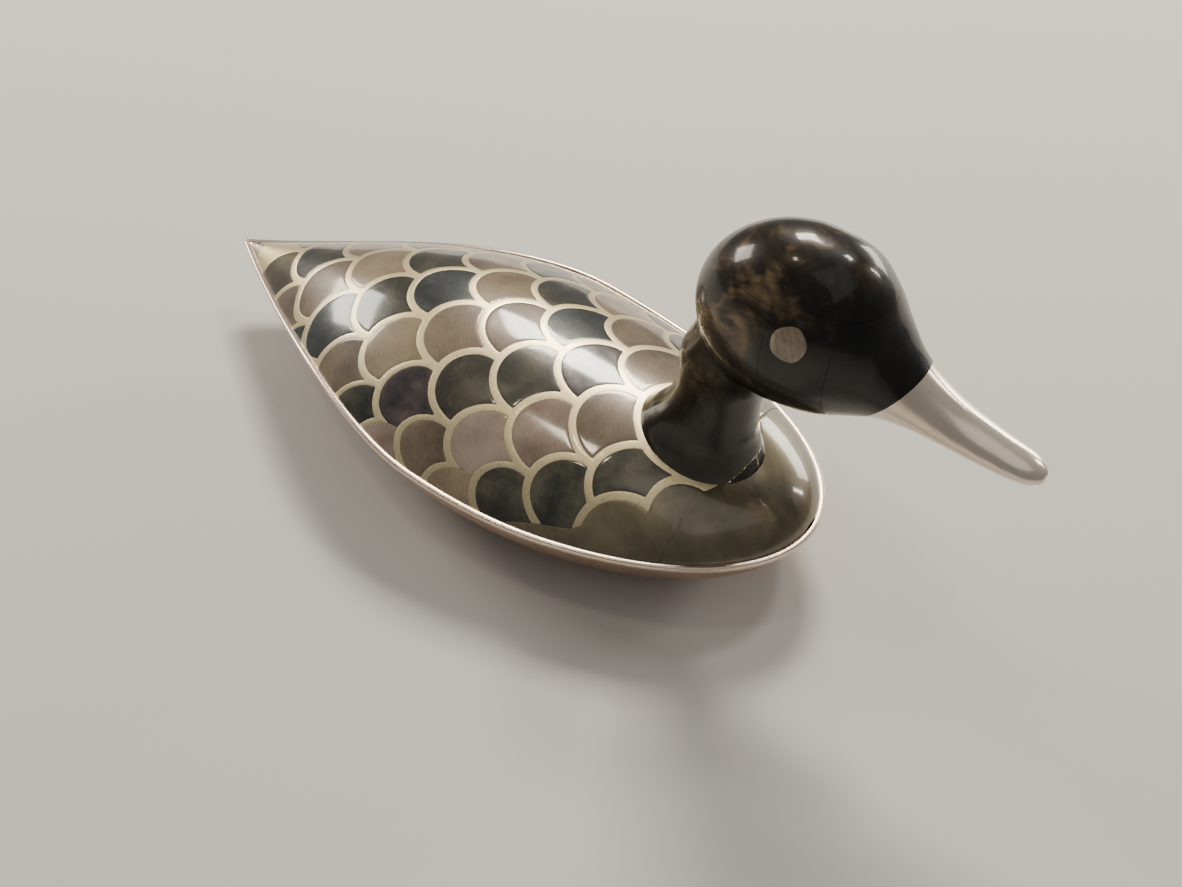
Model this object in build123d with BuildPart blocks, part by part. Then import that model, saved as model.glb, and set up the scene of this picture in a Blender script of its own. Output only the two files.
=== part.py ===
from build123d import *
from math import cos, pi, sin, sqrt
import os

# Inlaid brass duck in decoy form.
# Row frame: +X towards the bill, +Y to the duck's left, +Z up.
# Origin: centre of the bounding box in plan, on the resting plane.
# Millimetres throughout.

# ---------------------------------------------------------------- driving dimensions
BODY_LENGTH = 212.0          # tail tip to breast
STERN_X = -127.70            # tail tip of the body
BEAM_HALF = 47.4             # greatest half width of the body
BEAM_AT = 0.55               # where it is, as a fraction of the body length from the tail
RIM_Z = 24.0                 # height of the beltline at the tail and at the breast
RIM_WAVE = 6.0               # how far the beltline rises along the flank
RIM_WAVE_END = 0.74          # the beltline is level from here forward
CROWN_RISE = 19.5            # greatest rise of the back above the beltline
CROWN_AT = 0.62              # where it is
HULL_DEPTH = 27.0            # depth of the hull's bowl before its flat is cut
HULL_FULL_AT = 0.58

VENEER = 1.6                 # thickness of the shell inlay and its cell walls
SKIN = 1.4                   # thickness of the brass skins
TAIL_START = 0.055           # inner forms stop short of the solid tail tip
NOSE_END = 0.985             # and of the breast
FLANGE = 2.0                 # hollows run this far past the beltline, to open the shells cleanly
RIM_BAND_WIDTH = 1.3
RIM_BAND_ABOVE = 0.8
RIM_BAND_BELOW = 1.4
PAD_THICKNESS = 2.0

FEATHER_PITCH_X = 13.0       # row to row, along the back
FEATHER_PITCH_Y = 24.0       # scale to scale, round the back
FEATHER_RADIUS = 13.1        # a scale with its brass wall
WALL_WIDTH = 2.2
BACK_CURVE = 50.0            # radius that wraps the pitch round the back
FIRST_TIP = 159.0            # tail-side tip of the foremost row, from the tail

NECK_X = 181.0
COLLAR_X = 177.5
COLLAR_RX = 16.0
COLLAR_RY = 14.0
HEAD_X = 198.0
HEAD_Z = 65.0                # above the beltline, as are the head heights below
HEAD_RX = 24.5
HEAD_RY = 17.5
HEAD_RZ = 21.4
BILL_ROOT = (222.0, 57.0)    # a point on the joint between head and bill
BILL_ROOT_TILT = 35.0        # lean of that joint, degrees
EYE = (202.5, 71.0)
EYE_RADIUS = 4.0
STUD_RADIUS = 3.0


# ---------------------------------------------------------------- the body's curves
def half_beam(u):
    """Half width of the body at fraction u of its length."""
    if u < BEAM_AT:
        v = u / BEAM_AT
        return BEAM_HALF * v * (1.42 - 0.30 * v - 0.12 * v**6)
    return BEAM_HALF * sqrt(max(1 - ((u - BEAM_AT) / (1 - BEAM_AT)) ** 2, 0))


def rim_height(u):
    """Height of the beltline."""
    return RIM_Z + RIM_WAVE * sin(pi * min(u / RIM_WAVE_END, 1)) ** 2


def crown_rise(u):
    """Rise of the back above the beltline on the centre line."""
    if u < CROWN_AT:
        return CROWN_RISE * sin(pi / 2 * u / CROWN_AT) ** 0.9
    return CROWN_RISE * sqrt(max(1 - ((u - CROWN_AT) / (1 - CROWN_AT)) ** 2.2, 0))


def hull_depth(u):
    """Depth of the hull's bowl below the beltline."""
    if u < HULL_FULL_AT:
        return HULL_DEPTH * sqrt(max(1 - (1 - u / HULL_FULL_AT) ** 1.8, 0))
    return HULL_DEPTH * sqrt(max(1 - ((u - HULL_FULL_AT) / (1 - HULL_FULL_AT)) ** 2.6, 0))


def station(u):
    """Plane across the body, with local x to the duck's left and local y up."""
    return Plane(origin=(STERN_X + BODY_LENGTH * u, 0, 0), x_dir=(0, 1, 0), z_dir=(1, 0, 0))


def stations(first, last, count):
    """Fractions of the length, closer together towards both ends."""
    return [first + (last - first) * (1 - cos(pi * i / (count - 1))) / 2 for i in range(count)]


def closed_face(u, points, flange):
    """Face inside a curve, closed straight across, or past its ends by a flange that runs on."""
    with BuildSketch(station(u)) as section:
        with BuildLine():
            Spline(*points)
            if flange:
                ends = [(y, z + flange) for y, z in (points[-1], points[0])]
                Polyline(points[-1], *ends, points[0])
            else:
                Line(points[-1], points[0])
        make_face()
    return section.sketch


def deck_section(u, inset, flange):
    """Section of the back, inset from its outer surface."""
    beam = half_beam(u) - inset
    rise = crown_rise(u) - inset
    roundness = 1.0 - 0.35 * max(u - 0.5, 0) / 0.5
    angles = [pi / 2 * (i / 4 - 1) for i in range(9)]
    points = [
        (beam * sin(a), rim_height(u) + rise * abs(cos(a)) ** (2 * roundness)) for a in angles
    ]
    return closed_face(u, points, -flange)


def hull_section(u, inset, flange):
    """Section of the hull's bowl, inset from its outer surface."""
    beam = half_beam(u) - inset
    depth = hull_depth(u) - inset
    angles = [pi / 2 * (i / 4 - 1) for i in range(9)]
    points = [
        (beam * sin(a), rim_height(u) - depth * abs(cos(a)) ** 0.9) for a in angles
    ]
    return closed_face(u, points, flange)


def deck_form(first, last, inset, flange=0):
    """Solid under the back's surface; a flange takes it down past the beltline."""
    with BuildPart() as form:
        loft([deck_section(u, inset, flange) for u in stations(first, last, 11)])
    return form.part


def hull_form(first, last, inset, flange=0):
    """Solid inside the hull's surface, flat underneath; a flange takes it up past the beltline."""
    with BuildPart() as form:
        loft([hull_section(u, inset, flange) for u in stations(first, last, 11)])
        split(bisect_by=Plane.XY.offset(PAD_THICKNESS + inset), keep=Keep.TOP)
    return form.part


def plan_prism(x, y, rx, ry):
    """Upright elliptical prism, x measured from the tail."""
    with BuildPart() as prism:
        with BuildSketch(Plane.XY.offset(RIM_Z - 4)):
            with Locations((STERN_X + x, y)):
                Ellipse(rx, ry)
        extrude(amount=60)
    return prism.part


# ---------------------------------------------------------------- head, neck and bill
def head_height(z):
    return RIM_Z + z


FACE = [                     # x from tail, centre height, half width, half height
    (HEAD_X, HEAD_Z, HEAD_RY, HEAD_RZ),
    (208.0, 64.9, 16.2, 19.9),
    (215.0, 63.4, 13.0, 15.8),
    (220.5, 60.6, 9.9, 10.9),
    (226.0, 57.6, 7.7, 7.4),
    (236.0, 53.9, 6.0, 5.0),
    (246.0, 51.7, 5.0, 3.7),
    (253.0, 50.7, 3.9, 2.8),
    (256.7, 50.4, 1.6, 1.2),
]
NECK = [                     # height, x from tail, half length, half width
    (8.0, 177.0, 19.5, 16.4),
    (13.0, 177.0, 18.0, 15.0),
    (17.0, 177.2, 16.4, 13.2),
    (21.0, 178.4, 13.9, 11.4),
    (26.0, 180.5, 11.6, 10.2),
    (33.0, 182.0, 10.2, 9.7),
    (40.0, 182.6, 10.2, 9.9),
    (47.0, 184.2, 10.8, 10.7),
    (56.0, 188.0, 11.2, 11.5),
]


NAPE_ANGLES = (10, 28, 48, 68)   # stations on the round back of the head, in degrees


def head_sections(inset):
    """Upright elliptical sections from the nape to the bill's tip: x, z, half width, half height."""
    for angle in NAPE_ANGLES:
        turn = angle * pi / 180
        x = HEAD_X - (HEAD_RX - inset) * cos(turn)
        yield x, HEAD_Z, (HEAD_RY - inset) * sin(turn), (HEAD_RZ - inset) * sin(turn)
    for x, z, ry, rz in FACE:
        if min(ry, rz) > inset + 0.4:
            yield x, z, ry - inset, rz - inset


def head_form(inset):
    """Head, neck and bill in one solid, inset from the outer surface."""
    with BuildPart() as form:
        sections = []
        for x, z, ry, rz in head_sections(inset):
            across = Plane(
                origin=(STERN_X + x, 0, head_height(z)), x_dir=(0, 1, 0), z_dir=(1, 0, 0)
            )
            with BuildSketch(across) as section:
                Ellipse(ry, rz)
            sections.append(section.sketch)
        loft(sections)
        rings = []
        for z, x, rx, ry in NECK:
            with BuildSketch(Plane.XY.offset(head_height(z))) as ring:
                with Locations((STERN_X + x, 0)):
                    Ellipse(rx - inset, ry - inset)
            rings.append(ring.sketch)
        loft(rings)
    return form.part


# ---------------------------------------------------------------- reference forms
deck_outer = deck_form(0.004, 0.9992, 0)
deck_mid = deck_form(TAIL_START, NOSE_END, VENEER)
deck_under_veneer = deck_form(TAIL_START, NOSE_END, VENEER, FLANGE)
deck_inner = deck_form(TAIL_START + 0.02, NOSE_END - 0.01, VENEER + SKIN, FLANGE)
hull_outer = hull_form(0.004, 0.9992, 0)
hull_inner = hull_form(TAIL_START, NOSE_END, SKIN, FLANGE)
head_outer = head_form(0)
head_mid = head_form(VENEER)
head_inner = head_form(VENEER + SKIN)
collar = plan_prism(COLLAR_X, 0, COLLAR_RX, COLLAR_RY)
bill_plane = Plane(
    origin=(STERN_X + BILL_ROOT[0], 0, head_height(BILL_ROOT[1])),
    x_dir=(0, 1, 0),
    z_dir=(cos(BILL_ROOT_TILT * pi / 180), 0, -sin(BILL_ROOT_TILT * pi / 180)),
)

with BuildPart() as veneer_form:
    add(deck_outer)
    add(deck_under_veneer, mode=Mode.SUBTRACT)
    add(collar, mode=Mode.SUBTRACT)

finished = []


def finish(part, label):
    """Label one finished piece and write it to its own file."""
    part.label = label
    finished.append(label)
    export_step(part, f"parts/{label}.step")


os.makedirs("parts", exist_ok=True)

# ---------------------------------------------------------------- hull, back and rim
with BuildPart() as hull_shell:
    add(hull_outer)
    add(hull_inner, mode=Mode.SUBTRACT)
finish(hull_shell.part, "hull_shell")

NECK_HOLE_R = 7.0
with BuildPart() as back_shell:
    add(deck_mid)
    add(deck_inner, mode=Mode.SUBTRACT)
    with BuildSketch(Plane.XY.offset(RIM_Z)):
        with Locations((STERN_X + NECK_X, 0)):
            Circle(NECK_HOLE_R)
    extrude(amount=40, mode=Mode.SUBTRACT)
finish(back_shell.part, "back_shell")

def plan_form(grow):
    """Upright solid with the body's outline in plan, grown by about this much all round."""
    reach = BODY_LENGTH + 2 * grow
    flank = [
        (STERN_X - grow + reach * u, half_beam(u) * (1 + grow / BEAM_HALF))
        for u in stations(0, 1, 13)
    ]
    with BuildPart() as form:
        with BuildSketch(Plane.XY.offset(RIM_Z - 6)):
            with BuildLine():
                Spline(*flank)
                Spline(*[(x, -y) for x, y in reversed(flank)])
            make_face()
        extrude(amount=20)
    return form.part


wave = [(STERN_X + BODY_LENGTH * u, rim_height(u)) for u in stations(0, RIM_WAVE_END, 9)]
with BuildPart() as rim_wave:
    with BuildSketch(Plane.XZ.offset(-60)):
        with BuildLine():
            top = Spline(*[(x, z + RIM_BAND_ABOVE) for x, z in wave], tangents=[(1, 0), (1, 0)])
            bottom = Spline(*[(x, z - RIM_BAND_BELOW) for x, z in wave], tangents=[(1, 0), (1, 0)])
            Polyline(top @ 1, top @ 1 + Vector(60, 0), bottom @ 1 + Vector(60, 0), bottom @ 1)
            Polyline(top @ 0, top @ 0 - Vector(5, 0), bottom @ 0 - Vector(5, 0), bottom @ 0)
        make_face()
    extrude(amount=120)
with BuildPart() as rim_band:
    add(plan_form(RIM_BAND_WIDTH))
    add(plan_form(0), mode=Mode.SUBTRACT)
    add(rim_wave.part, mode=Mode.INTERSECT)
finish(rim_band.part, "rim_band")

TAIL_PLUG_END = 9.0          # the solid brass point of the tail, from the tail tip
PIT_RADIUS = 1.1
PIT_DEPTH = 4.0
PIT_FROM_END = 3.5           # the pit's centre, back from the point's end
PIT_HEIGHT = 3.0             # and above the beltline
with BuildPart() as tail_point:
    add(deck_outer)
    split(bisect_by=Plane.YZ.offset(STERN_X + TAIL_PLUG_END), keep=Keep.BOTTOM)
    with Locations((STERN_X + TAIL_PLUG_END - PIT_FROM_END, 0, RIM_Z + PIT_HEIGHT)):
        Cylinder(PIT_RADIUS, PIT_DEPTH, mode=Mode.SUBTRACT)
finish(tail_point.part, "tail_point")

# ---------------------------------------------------------------- feather inlay
# Rows run from the nape to the tail. Each entry gives the columns of one row on
# the right side and the centre line, from the centre outwards; both sides match.
ROWS = [
    ((1, "dark"),),
    ((0.5, "tan"), (1.5, "dark")),
    ((0, "dark"), (1, "tan"), (2, "dark")),
    ((0.5, "dark"), (1.5, "tan")),
    ((0, "tan"), (1, "dark"), (2, "tan")),
    ((0.5, "tan"), (1.5, "dark")),
    ((0, "dark"), (1, "tan"), (2, "dark")),
    ((0.5, "dark"), (1.5, "tan")),
    ((0, "tan"), (1, "dark")),
    ((0.5, "tan"), (1.5, "dark")),
    ((0, "dark"), (1, "tan")),
    ((0.5, "olive"),),
]
SLIVER = 4.0                 # cut-off scraps smaller than this, in cubic mm, are left out
LEAST_SQUEEZE = 0.55         # scales low on the flank are drawn no narrower than this
BREAST_EDGE = [              # boundary between breast and feathers, from the tail, half width
    (134.0, 60.0),
    (147.0, 44.5),
    (163.0, 38.0),
    (180.0, 26.0),
    (190.0, 10.0),
]
BREAST_SCALES = ((176.0, 24.0), (163.5, 36.0))   # tail-side tip and offset of the breast's own scales
BREAST_SCALE_RX = 11.4
BREAST_SCALE_RY = 9.6
PRISM_REACH = 60.0           # cutting prisms reach this far past the body


def scale_centre(row, column):
    """Centre of a scale in plan, x from the tail."""
    x = FIRST_TIP - FEATHER_PITCH_X * row + FEATHER_RADIUS
    return x, BACK_CURVE * sin(column * FEATHER_PITCH_Y / BACK_CURVE)


def scale_prism(row, column, wall):
    """Upright prism of one scale, drawn in by the width of its wall."""
    x, y = scale_centre(row, column)
    squeeze = cos(column * FEATHER_PITCH_Y / BACK_CURVE)
    radius = FEATHER_RADIUS - wall
    return plan_prism(x, y, radius, radius * max(squeeze, LEAST_SQUEEZE))


def columns(row):
    """Signed columns of a row, both sides of the centre line."""
    for column, shade in ROWS[row]:
        yield column, shade
        if column:
            yield -column, shade


with BuildPart() as breast_zone:
    with BuildSketch(Plane.XY.offset(RIM_Z - 4)):
        with BuildLine():
            front = STERN_X + BODY_LENGTH + 10
            right = [(STERN_X + x, -y) for x, y in BREAST_EDGE]
            left = [(STERN_X + x, y) for x, y in reversed(BREAST_EDGE)]
            Polyline((front, -PRISM_REACH), *right, *left, (front, PRISM_REACH), (front, -PRISM_REACH))
        make_face()
    extrude(amount=PRISM_REACH)
    for side in (-1, 1):
        for tip, offset in BREAST_SCALES:
            add(plan_prism(tip + FEATHER_RADIUS, side * offset, BREAST_SCALE_RX, BREAST_SCALE_RY))

with BuildPart() as feather_field:
    add(veneer_form.part)
    add(breast_zone.part, mode=Mode.SUBTRACT)
    split(bisect_by=Plane.YZ.offset(STERN_X + TAIL_PLUG_END), keep=Keep.TOP)
    add(plan_prism(COLLAR_X, 0, COLLAR_RX + WALL_WIDTH, COLLAR_RY + WALL_WIDTH), mode=Mode.SUBTRACT)

breast_walls = [
    plan_prism(
        tip + FEATHER_RADIUS, side * offset, BREAST_SCALE_RX + WALL_WIDTH, BREAST_SCALE_RY + WALL_WIDTH
    )
    for side in (-1, 1)
    for tip, offset in BREAST_SCALES
]

all_tiles = []
for row in range(len(ROWS)):
    shades = {}
    for column, shade in columns(row):
        with BuildPart() as tile:
            add(feather_field.part)
            add(scale_prism(row, column, WALL_WIDTH), mode=Mode.INTERSECT)
            for ahead in (1, 2):
                if row - ahead >= 0:
                    for other, _ in columns(row - ahead):
                        if abs(other - column) < 1.1:
                            add(scale_prism(row - ahead, other, 0), mode=Mode.SUBTRACT)
            for wall in breast_walls:
                add(wall, mode=Mode.SUBTRACT)
        pieces = [s for s in tile.part.solids() if s.volume > SLIVER]
        shades.setdefault(shade, []).extend(pieces)
        all_tiles.extend(pieces)
    for shade, pieces in shades.items():
        if pieces:
            finish(Compound(pieces), f"feathers_row_{row + 1:02d}_{shade}")

with BuildPart() as cell_walls:
    add(veneer_form.part)
    add(breast_zone.part, mode=Mode.SUBTRACT)
    split(bisect_by=Plane.YZ.offset(STERN_X + TAIL_PLUG_END), keep=Keep.TOP)
    add(all_tiles, mode=Mode.SUBTRACT)
finish(cell_walls.part.solids().sort_by(SortBy.VOLUME)[-1], "cell_walls")

# ---------------------------------------------------------------- breast slabs
SEAM_HALF = 0.15             # half the width of the butt seams between slabs
FRONT_SLAB_FROM = 186.0
with BuildPart() as breast:
    add(veneer_form.part)
    add(breast_zone.part, mode=Mode.INTERSECT)
with BuildPart() as breast_front:
    add(breast.part)
    split(bisect_by=Plane.YZ.offset(STERN_X + FRONT_SLAB_FROM + SEAM_HALF), keep=Keep.TOP)
finish(breast_front.part, "breast_front")
with BuildPart() as breast_sides:
    add(breast.part)
    split(bisect_by=Plane.YZ.offset(STERN_X + FRONT_SLAB_FROM - SEAM_HALF), keep=Keep.BOTTOM)
for side, label in ((1, "breast_left"), (-1, "breast_right")):
    slabs = [s for s in breast_sides.part.solids() if s.center().Y * side > 0]
    finish(Compound(slabs), label)

# ---------------------------------------------------------------- head and neck
DECK_TOP = 10.0              # below this height above the beltline the neck form is buried
NECK_TOP = 44.0
HEAD_SEAM = 197.0
FACE_SEAM = 211.0
CROWN_SEAM = 77.0

with BuildPart() as bill_cutter:
    with BuildSketch(bill_plane):
        Rectangle(80, 80)
    extrude(amount=80)
with BuildPart() as head_veneer:
    add(head_outer)
    add(head_mid, mode=Mode.SUBTRACT)
    add(bill_cutter.part, mode=Mode.SUBTRACT)
    add(deck_outer, mode=Mode.SUBTRACT)
with BuildPart() as head_core:
    add(head_mid)
    add(head_inner, mode=Mode.SUBTRACT)
    add(bill_cutter.part, mode=Mode.SUBTRACT)
    add(deck_outer, mode=Mode.SUBTRACT)


def block(x0, x1, y0, y1, z0, z1):
    """Box between limits, x from the tail and z from the beltline."""
    with BuildPart() as box:
        with BuildSketch(Plane.XY.offset(head_height(z0))):
            with Locations((STERN_X + (x0 + x1) / 2, (y0 + y1) / 2)):
                Rectangle(x1 - x0, y1 - y0)
        extrude(amount=z1 - z0)
    return box.part


G = SEAM_HALF
BEHIND = 150.0               # limits well clear of the head on each side
AHEAD = 240.0
BESIDE = 40.0
ABOVE = 100.0
HEAD_TILES = {
    "neck_inlay": (BEHIND, AHEAD, G, BESIDE, DECK_TOP, NECK_TOP - G),
    "nape_inlay": (BEHIND, HEAD_SEAM - G, G, BESIDE, NECK_TOP + G, CROWN_SEAM - G),
    "cheek_inlay": (HEAD_SEAM + G, FACE_SEAM - G, G, BESIDE, NECK_TOP + G, CROWN_SEAM - G),
    "face_inlay": (FACE_SEAM + G, AHEAD, G, BESIDE, NECK_TOP + G, CROWN_SEAM - G),
}
for name, (x0, x1, y0, y1, z0, z1) in HEAD_TILES.items():
    for side, hand in ((1, "left"), (-1, "right")):
        with BuildPart() as slab:
            add(head_veneer.part)
            limits = (y0, y1) if side > 0 else (-y1, -y0)
            add(block(x0, x1, *limits, z0, z1), mode=Mode.INTERSECT)
            if name == "cheek_inlay":
                eye_axis = Plane.XZ.offset(-side * 30)
                with BuildSketch(eye_axis):
                    with Locations((STERN_X + EYE[0], head_height(EYE[1]))):
                        Circle(EYE_RADIUS)
                extrude(amount=side * 30, mode=Mode.SUBTRACT)
        finish(slab.part.solids().sort_by(SortBy.VOLUME)[-1], f"{name}_{hand}")
with BuildPart() as crown_inlay:
    add(head_veneer.part)
    add(block(BEHIND, AHEAD, -BESIDE, BESIDE, CROWN_SEAM + G, ABOVE), mode=Mode.INTERSECT)
finish(crown_inlay.part, "crown_inlay")

for side, hand in ((1, "left"), (-1, "right")):
    with BuildPart() as eye:
        add(head_outer)
        add(head_mid, mode=Mode.SUBTRACT)
        with BuildSketch(Plane.XZ.offset(-side * 30)):
            with Locations((STERN_X + EYE[0], head_height(EYE[1]))):
                Circle(EYE_RADIUS)
        extrude(amount=side * 30, mode=Mode.INTERSECT)
    finish(eye.part, f"eye_{hand}")
    with BuildPart() as core_half:
        add(head_core.part)
        limits = (0, BESIDE) if side > 0 else (-BESIDE, 0)
        add(block(BEHIND, AHEAD, *limits, 0, ABOVE), mode=Mode.INTERSECT)
    finish(core_half.part, f"head_shell_{hand}")

TANG_RADIUS = 4.0
TANG_START = 207.0
with BuildPart() as bill:
    add(head_outer)
    add(bill_cutter.part, mode=Mode.INTERSECT)
    with BuildSketch(Plane.YZ.offset(STERN_X + TANG_START)):
        with Locations((0, head_height(BILL_ROOT[1]))):
            Circle(TANG_RADIUS)
    extrude(amount=BILL_ROOT[0] - TANG_START)
finish(bill.part, "bill")

# ---------------------------------------------------------------- hidden fixings
PLUG_TOP = 30.0
PLUG_RADIUS = 6.4
SOCKET_RADIUS = 15.0
SOCKET_TOP = 11.0
SOCKET_THICKNESS = 3.0
WASHER_RADIUS = 7.0
WASHER_THICKNESS = 1.6
NUT_ACROSS_FLATS = 10.0
NUT_THICKNESS = 5.0
STUD_BOTTOM = -2.0


def at_neck(z):
    """Level plane on the neck's axis, z above the beltline."""
    return Plane(origin=(STERN_X + NECK_X, 0, head_height(z)))


with BuildPart() as neck_plug:
    with BuildSketch(at_neck(SOCKET_TOP)):
        Circle(PLUG_RADIUS)
    extrude(amount=PLUG_TOP - SOCKET_TOP)
    with BuildSketch(at_neck(SOCKET_TOP)):
        Circle(STUD_RADIUS)
    extrude(amount=PLUG_TOP - SOCKET_TOP - 4, mode=Mode.SUBTRACT)
finish(neck_plug.part, "neck_plug")

with BuildPart() as neck_socket:
    with BuildSketch(at_neck(SOCKET_TOP)):
        Circle(SOCKET_RADIUS)
        Circle(STUD_RADIUS, mode=Mode.SUBTRACT)
    extrude(amount=-SOCKET_THICKNESS)
    add(deck_inner, mode=Mode.INTERSECT)
finish(neck_socket.part, "neck_socket")

with BuildPart() as neck_washer:
    with BuildSketch(at_neck(SOCKET_TOP - SOCKET_THICKNESS)):
        Circle(WASHER_RADIUS)
        Circle(STUD_RADIUS, mode=Mode.SUBTRACT)
    extrude(amount=-WASHER_THICKNESS)
finish(neck_washer.part, "neck_washer")

with BuildPart() as neck_nut:
    with BuildSketch(at_neck(SOCKET_TOP - SOCKET_THICKNESS - WASHER_THICKNESS)):
        RegularPolygon(NUT_ACROSS_FLATS / 2, 6, major_radius=False)
        Circle(STUD_RADIUS, mode=Mode.SUBTRACT)
    extrude(amount=-NUT_THICKNESS)
finish(neck_nut.part, "neck_nut")

with BuildPart() as neck_stud:
    with BuildSketch(at_neck(STUD_BOTTOM)):
        Circle(STUD_RADIUS)
    extrude(amount=PLUG_TOP - 4 - STUD_BOTTOM)
finish(neck_stud.part, "neck_stud")

# ---------------------------------------------------------------- resting pad
PAD_CENTRE = 122.0
PAD_RX = 52.0
PAD_RY = 24.0
with BuildPart() as base_pad:
    with BuildSketch():
        with Locations((STERN_X + PAD_CENTRE, 0)):
            Ellipse(PAD_RX, PAD_RY)
    extrude(amount=PAD_THICKNESS)
finish(base_pad.part, "base_pad")

print(len(finished), "pieces:", ", ".join(finished))
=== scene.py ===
"""Visual model of an inlaid brass duck in decoy form.

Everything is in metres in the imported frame: +X towards the bill, +Y to the duck's left, +Z up,
with the origin under the middle of the part on its resting plane.
"""

import logging
import math
from dataclasses import dataclass, field
from enum import Enum
from typing import Callable, Iterator

import bmesh
import bpy
import numpy as np
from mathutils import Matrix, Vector


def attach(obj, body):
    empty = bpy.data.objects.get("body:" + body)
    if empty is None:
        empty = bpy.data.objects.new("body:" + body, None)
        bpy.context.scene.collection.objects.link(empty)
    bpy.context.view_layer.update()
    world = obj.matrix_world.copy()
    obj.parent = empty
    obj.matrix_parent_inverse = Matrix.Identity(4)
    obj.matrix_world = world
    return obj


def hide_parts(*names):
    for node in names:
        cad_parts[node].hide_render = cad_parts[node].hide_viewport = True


LOG = logging.getLogger("duck")
MM = 0.001
Array = np.ndarray
Point = tuple[float, float, float]
Colour = tuple[float, float, float, float]
Field = Callable[[Array, Array], Array]


# ------------------------------------------------------------------ shader node helpers
class Graph:
    """A node tree with short calls to add nodes and join sockets."""

    def __init__(self, tree: bpy.types.NodeTree) -> None:
        """Wrap a tree.

        Args:
            tree: a material's node tree or a node group.
        """
        self.tree = tree

    def node(self, kind: str, inputs: dict | None = None, **settings) -> bpy.types.Node:
        """Add a node.

        Args:
            kind: the node's type name.
            inputs: socket name or index to a constant or to an output socket.
            settings: the node's own properties.

        Returns:
            The new node.
        """
        new = self.tree.nodes.new(kind)
        for key, value in settings.items():
            setattr(new, key, value)
        self.feed(new, inputs or {})
        return new

    def feed(self, node: bpy.types.Node, inputs: dict) -> None:
        """Set a node's sockets to constants, or link output sockets to them."""
        for key, value in inputs.items():
            if isinstance(value, bpy.types.NodeSocket):
                self.tree.links.new(value, node.inputs[key])
            else:
                node.inputs[key].default_value = value

    def math(self, operation: str, a, b=0.5, clamp: bool = False) -> bpy.types.NodeSocket:
        """One step of arithmetic, and its result."""
        return self.node("ShaderNodeMath", {0: a, 1: b}, operation=operation, use_clamp=clamp).outputs[0]

    def mix(self, factor, first, second, blend: str = "MIX") -> bpy.types.NodeSocket:
        """Mix two colours, and return the result."""
        node = self.node("ShaderNodeMix", data_type="RGBA", blend_type=blend)
        self.feed(node, {0: factor, 6: first, 7: second})
        return node.outputs[2]

    def ramp(self, factor, stops: list[tuple[float, Colour]]) -> bpy.types.NodeSocket:
        """Colour ramp over a factor, and its colour."""
        node = self.node("ShaderNodeValToRGB", {0: factor})
        band = node.color_ramp
        band.elements[0].position, band.elements[0].color = stops[0]
        band.elements[1].position, band.elements[1].color = stops[-1]
        for place, colour in stops[1:-1]:
            band.elements.new(place).color = colour
        return node.outputs[0]


def start_material(name: str) -> tuple[bpy.types.Material, Graph, bpy.types.Node]:
    """New material, with its graph and its shader node."""
    material = bpy.data.materials.new(name)
    material.use_nodes = True
    return material, Graph(material.node_tree), material.node_tree.nodes["Principled BSDF"]


def grey(value: float) -> Colour:
    """A grey of one level."""
    return (value, value, value, 1.0)


def new_group(name: str, inputs: dict[str, float | Colour], outputs: dict[str, str]) -> tuple:
    """Start a shader node group.

    Args:
        name: the group's name.
        inputs: input names and their defaults; a tuple makes a colour socket.
        outputs: output names and their socket types.

    Returns:
        The group, its graph, and its input and output nodes.
    """
    tree = bpy.data.node_groups.new(name, "ShaderNodeTree")
    for label, default in inputs.items():
        kind = "NodeSocketColor" if isinstance(default, tuple) else "NodeSocketFloat"
        socket = tree.interface.new_socket(name=label, in_out="INPUT", socket_type=kind)
        socket.default_value = default
    for label, kind in outputs.items():
        tree.interface.new_socket(name=label, in_out="OUTPUT", socket_type=kind)
    graph = Graph(tree)
    return tree, graph, graph.node("NodeGroupInput"), graph.node("NodeGroupOutput")


def cloud_group() -> bpy.types.NodeTree:
    """Cloudy blend of three colours, the body of every shell finish.

    Returns:
        A group with Scale, Warp, Detail and three colours in, Colour and Mask out.
    """
    tree, graph, given, result = new_group(
        "shell_clouds",
        {
            "Scale": 60.0, "Warp": 0.35, "Detail": 4.0,
            "Dark": grey(0.02), "Middle": grey(0.05), "Light": grey(0.1),
        },
        {"Colour": "NodeSocketColor", "Mask": "NodeSocketFloat"},
    )
    place = graph.node("ShaderNodeTexCoord").outputs["Object"]
    warp = graph.node("ShaderNodeTexNoise", {"Vector": place, "Scale": 45.0, "Detail": 2.0})
    middle = (0.5, 0.5, 0.5)
    shifted = graph.node("ShaderNodeVectorMath", {0: warp.outputs["Color"], 1: middle}, operation="SUBTRACT")
    reach = graph.math("MULTIPLY", given.outputs["Warp"], 0.02)
    scaled = graph.node("ShaderNodeVectorMath", {0: shifted.outputs[0], "Scale": reach}, operation="SCALE")
    moved = graph.node("ShaderNodeVectorMath", {0: place, 1: scaled.outputs[0]}, operation="ADD")
    noise = graph.node(
        "ShaderNodeTexNoise",
        {
            "Vector": moved.outputs[0], "Roughness": 0.6,
            "Scale": given.outputs["Scale"], "Detail": given.outputs["Detail"],
        },
    )
    spread = graph.node(
        "ShaderNodeMapRange", {"Value": noise.outputs["Fac"], "From Min": 0.33, "From Max": 0.67}
    ).outputs[0]
    low = graph.math("MULTIPLY", spread, 2.0, clamp=True)
    high = graph.math("SUBTRACT", graph.math("MULTIPLY", spread, 2.0), 1.0, clamp=True)
    first = graph.mix(low, given.outputs["Dark"], given.outputs["Middle"])
    colour = graph.mix(high, first, given.outputs["Light"])
    graph.feed(result, {"Colour": colour, "Mask": spread})
    return tree


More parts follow.
